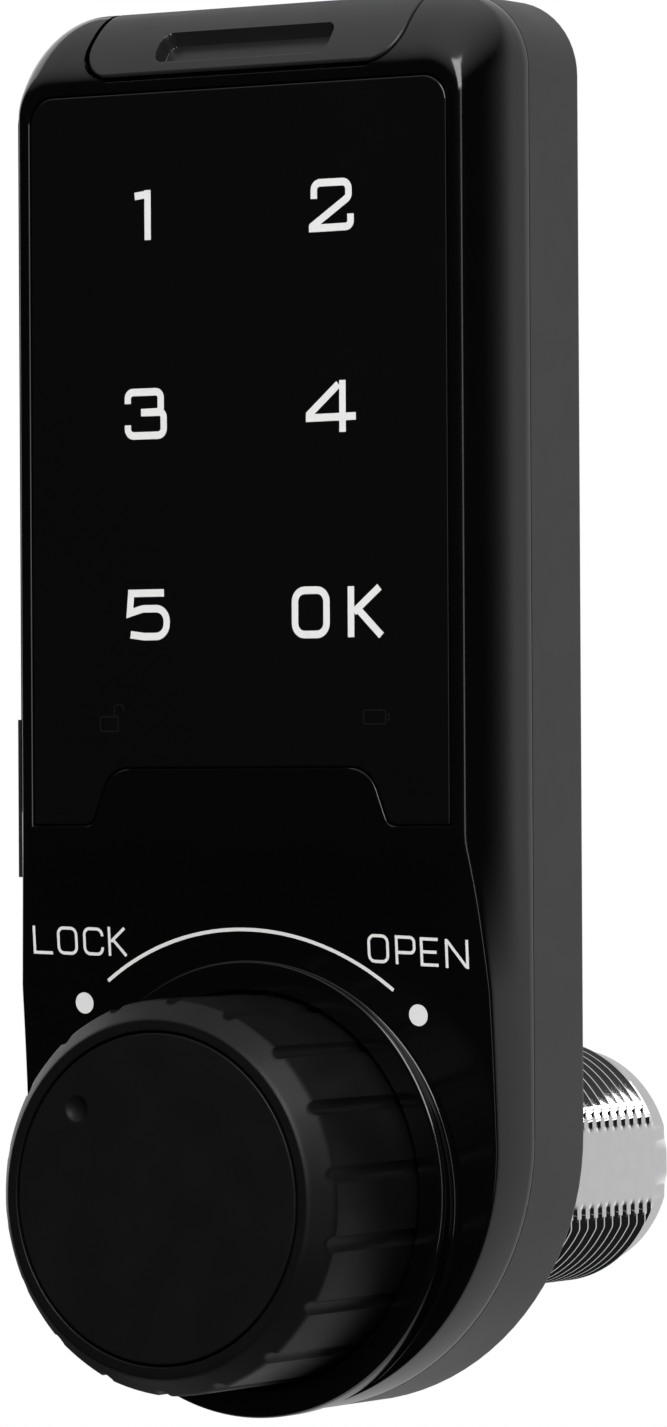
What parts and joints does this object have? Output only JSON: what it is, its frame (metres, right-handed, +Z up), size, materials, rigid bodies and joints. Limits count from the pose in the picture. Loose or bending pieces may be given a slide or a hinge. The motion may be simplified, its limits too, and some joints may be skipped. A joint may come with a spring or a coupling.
{
  "type": "keypad locker lock",
  "caption": "Slim upright locker lock: touch keypad over a grooved turning knob, battery door on top, threaded barrel with two flats behind",
  "frame": {"origin": "on the axis of the barrel and knob, in the plane of the rear face that lies on the locker door", "axes": "+Y along the barrel towards the inside of the locker, +Z up, +X to the right seen from the front"},
  "size_m": [0.042, 0.0659, 0.1049],
  "materials": {
    "cover_gloss": "high gloss black",
    "base_satin": "satin dark grey",
    "panel_gloss": "gloss black, with light grey numerals",
    "knob_satin": "satin black",
    "cap_matt": "matt black",
    "door_satin": "satin black",
    "flap_rubber": "matt black",
    "barrel_chrome": "bright chrome",
    "steel": "zinc plated",
    "socket_metal": "bright",
    "contact_metal": "bright nickel",
    "board": "green lacquer",
    "chip": "moulded black",
    "diffuser": "translucent white",
    "lamp": "pale yellow",
    "winding": "copper wire",
    "cell_jacket": "printed grey sleeve"
  },
  "bodies": {
    "case": {"front_cover": "cover_gloss", "rear_base": "base_satin", "touch_panel": "panel_gloss", "light_guide": "diffuser", "key_lights": "lamp", "touch_board": "board", "controller_chip": "chip", "buzzer": "chip", "power_socket": "socket_metal", "stop_pin": "steel", "threaded_barrel": "barrel_chrome", "barrel_screws": "steel", "battery_cell_left": "cell_jacket", "battery_cell_right": "cell_jacket", "bay_contact_left": "contact_metal", "bay_contact_right": "contact_metal", "solenoid_frame": "steel", "solenoid_coil": "winding", "solenoid_screws": "steel", "case_screws": "steel"},
    "knob": {"knob_grip": "knob_satin", "knob_cap": "cap_matt", "knob_screw": "steel", "spindle": "steel", "lock_disc": "steel", "thrust_washer": "steel", "retaining_clip": "steel"},
    "plunger": {"blocking_plunger": "steel"},
    "door": {"battery_door": "door_satin", "door_contact": "contact_metal"},
    "flap": {"port_flap": "flap_rubber"}
  },
  "joints": [
    {"name": "knob_turn", "type": "hinge", "parent": "case", "child": "knob", "pos_m": [0, 0, 0], "axis": [0, 1, 0], "range_deg": [0, 95]},
    {"name": "plunger_drop", "type": "slide", "parent": "case", "child": "plunger", "axis": [0, 0, -1], "range_m": [0, 0.003]},
    {"name": "door_slide", "type": "slide", "parent": "case", "child": "door", "axis": [0, 0, 1], "range_m": [0, 0.012]},
    {"name": "flap_hinge", "type": "hinge", "parent": "case", "child": "flap", "pos_m": [-0.0204, -0.00895, 0.029], "axis": [0, 0, -1], "range_deg": [0, 90]}
  ]
}
